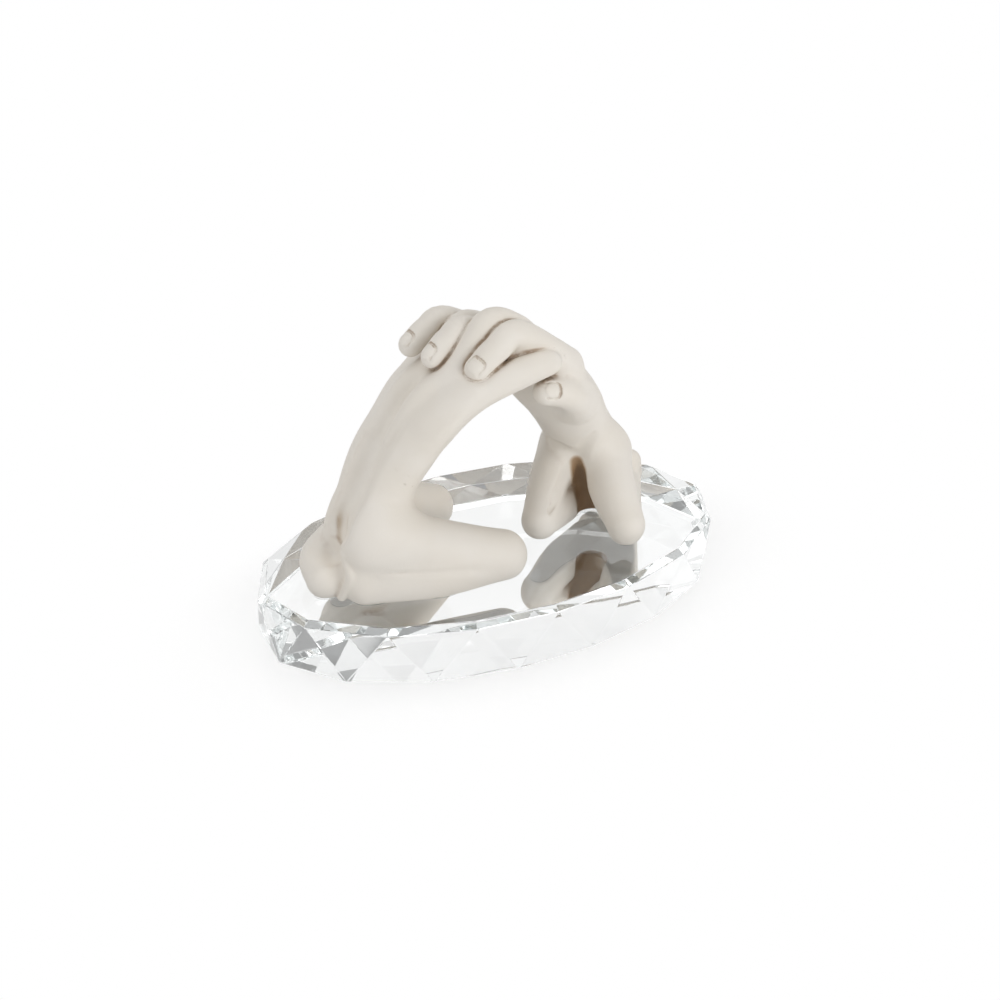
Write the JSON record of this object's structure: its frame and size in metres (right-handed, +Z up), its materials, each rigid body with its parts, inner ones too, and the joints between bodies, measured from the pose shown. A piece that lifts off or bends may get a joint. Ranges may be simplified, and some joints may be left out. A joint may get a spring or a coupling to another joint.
{
  "type": "hand sculpture",
  "caption": "Ornament of kneeling ivory ceramic figures whose bodies become clasped hands in an arch, bonded to an oval cut crystal base.",
  "frame": {"origin": "middle of the crystal base's underside", "axes": "+X along the base's length from the left figure to the right figure, +Y to the far side, +Z up"},
  "size_m": [0.16, 0.092, 0.1011],
  "materials": {
    "crystal": "polished, clear",
    "ceramic": "matte ivory bisque, brown wash in the creases",
    "adhesive": "clear cured adhesive"
  },
  "bodies": {
    "root": {"crystal_base": "crystal", "left_figure": "ceramic", "right_figure": "ceramic", "left_bond": "adhesive", "right_bond": "adhesive"}
  },
  "joints": []
}
